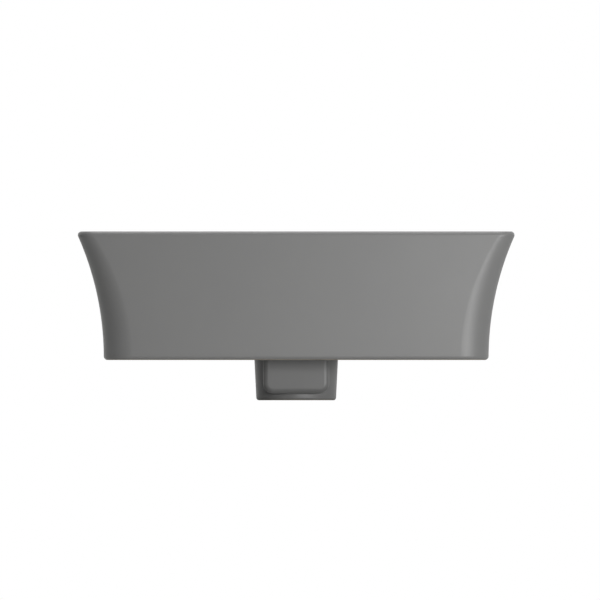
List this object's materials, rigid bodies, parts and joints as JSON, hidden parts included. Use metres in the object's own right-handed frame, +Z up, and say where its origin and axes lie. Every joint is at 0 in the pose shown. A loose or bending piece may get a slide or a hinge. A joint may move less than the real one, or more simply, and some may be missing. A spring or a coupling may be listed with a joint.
{
  "type": "countertop basin",
  "caption": "Rectangular countertop wash basin with flared sides, front overflow, outlet boss below and a press-open plug waste.",
  "frame": {"origin": "on the drain axis, in the plane of the foot ring that rests on the counter", "axes": "+Z up, +X to the right seen from the front, the front with the overflow faces -Y"},
  "size_m": [0.4992, 0.38, 0.193],
  "materials": {
    "glazed_ceramic": "gloss",
    "chromed_brass": "polished",
    "black_rubber": "matte",
    "bare_brass": "satin",
    "white_nylon": "satin",
    "spring_steel": "satin"
  },
  "bodies": {
    "basin": {"basin_body": "glazed_ceramic", "overflow_ring": "chromed_brass", "overflow_grip": "black_rubber", "waste_body": "chromed_brass", "flange_seal": "black_rubber", "lower_seal": "black_rubber", "slip_washer": "white_nylon", "back_nut": "bare_brass", "cartridge_housing": "bare_brass", "collar_cap": "bare_brass", "stem_ring": "black_rubber", "cartridge_spring": "spring_steel"},
    "plug": {"plug_cap": "chromed_brass", "plug_seal": "black_rubber", "plug_stem": "bare_brass", "lock_nut": "bare_brass"},
    "latch": {"latch_cam": "white_nylon"}
  },
  "joints": [
    {"name": "plug_slide", "type": "slide", "parent": "basin", "child": "plug", "axis": [0, 0, 1], "range_m": [-0.008, 0], "stiffness_N_per_m": 1200, "springref_m": 0.006, "deforming": ["cartridge_spring"]},
    {"name": "latch_turn", "type": "hinge", "parent": "plug", "child": "latch", "pos_m": [0, 0, 0.0064], "axis": [0, 0, 1], "range_deg": [0, 45]}
  ],
  "couplings": [
    {"joint": "latch_turn", "follows": "plug_slide", "rad_per_m": -98.175}
  ]
}
